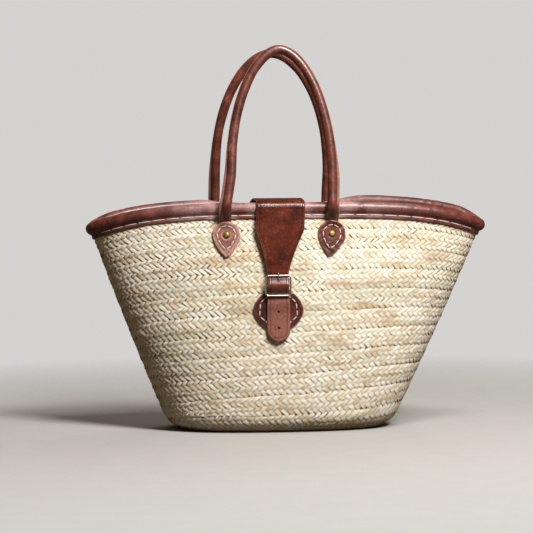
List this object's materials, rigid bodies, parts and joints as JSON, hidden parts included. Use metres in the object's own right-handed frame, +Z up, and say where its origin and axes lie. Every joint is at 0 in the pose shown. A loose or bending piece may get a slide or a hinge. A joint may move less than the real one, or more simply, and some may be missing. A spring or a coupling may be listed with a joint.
{
  "type": "market basket bag",
  "caption": "Oval plaited palm-leaf basket bag with a leather-bound rim, rolled leather handles on riveted tabs and a leather flap that buckles in front.",
  "frame": {"origin": "on the surface the bag stands on, under the middle of its bounding box", "axes": "+Z up, the face with the buckle looks along -Y, +X runs along the bag's length"},
  "size_m": [0.5416, 0.192, 0.5152],
  "materials": {
    "palm_plait": "dry plaited palm leaf, matt, straw to cream with tan and grey-green strands",
    "palm_cord": "twisted palm-leaf cord, matt",
    "rim_leather": "waxed red-brown leather, worn, semi-gloss",
    "handle_leather": "waxed red-brown leather, worn, semi-gloss",
    "flap_leather": "waxed dark red-brown leather with a fine crackle, semi-gloss",
    "strap_leather": "lighter red-brown leather, satin",
    "rivet_brass": "dulled brass",
    "nickel_wire": "bright nickel plate on steel wire"
  },
  "bodies": {
    "basket": {"basket_wall": "palm_plait", "basket_base": "palm_plait", "rim_core": "palm_cord", "rim_binding": "rim_leather", "front_left_tab": "handle_leather", "front_left_rivet": "rivet_brass", "front_left_washer": "rivet_brass", "front_right_tab": "handle_leather", "front_right_rivet": "rivet_brass", "front_right_washer": "rivet_brass", "back_left_tab": "handle_leather", "back_left_rivet": "rivet_brass", "back_left_washer": "rivet_brass", "back_right_tab": "handle_leather", "back_right_rivet": "rivet_brass", "back_right_washer": "rivet_brass", "flap_anchor": "flap_leather", "buckle_patch": "strap_leather", "buckle_loop": "strap_leather"},
    "front_handle": {"front_handle_cover": "handle_leather", "front_handle_rope": "palm_cord"},
    "back_handle": {"back_handle_cover": "handle_leather", "back_handle_rope": "palm_cord"},
    "flap": {"flap_top": "flap_leather", "flap_rear_fold": "flap_leather", "flap_front_fold": "flap_leather"},
    "flap_tongue": {"flap_tongue": "flap_leather", "strap_end": "strap_leather"},
    "buckle_frame": {"buckle_frame": "nickel_wire"},
    "buckle_prong": {"buckle_prong": "nickel_wire"}
  },
  "joints": [
    {"name": "front_handle_swing", "type": "hinge", "parent": "basket", "child": "front_handle", "pos_m": [-0.01785, -0.07061, 0.2825], "axis": [1, 0, 0], "range_deg": [0, 130]},
    {"name": "back_handle_swing", "type": "hinge", "parent": "basket", "child": "back_handle", "pos_m": [-0.01785, 0.08013, 0.2825], "axis": [-1, 0, 0], "range_deg": [0, 125]},
    {"name": "flap_lift", "type": "hinge", "parent": "basket", "child": "flap", "pos_m": [-0.01385, 0.08199, 0.29443], "axis": [-1, 0, 0], "range_deg": [0, 160], "deforming": ["flap_rear_fold"]},
    {"name": "tongue_fold", "type": "hinge", "parent": "flap", "child": "flap_tongue", "pos_m": [-0.01385, -0.06198, 0.29443], "axis": [-1, 0, 0], "range_deg": [0, 85], "deforming": ["flap_front_fold", "strap_end"]},
    {"name": "buckle_tilt", "type": "hinge", "parent": "basket", "child": "buckle_frame", "pos_m": [-0.01946, -0.09072, 0.19409], "axis": [-0.9999, 0.0146, 0], "range_deg": [0, 35]},
    {"name": "prong_swing", "type": "hinge", "parent": "buckle_frame", "child": "buckle_prong", "pos_m": [-0.01946, -0.09072, 0.19409], "axis": [0.9999, -0.0146, 0], "range_deg": [0, 120]}
  ]
}
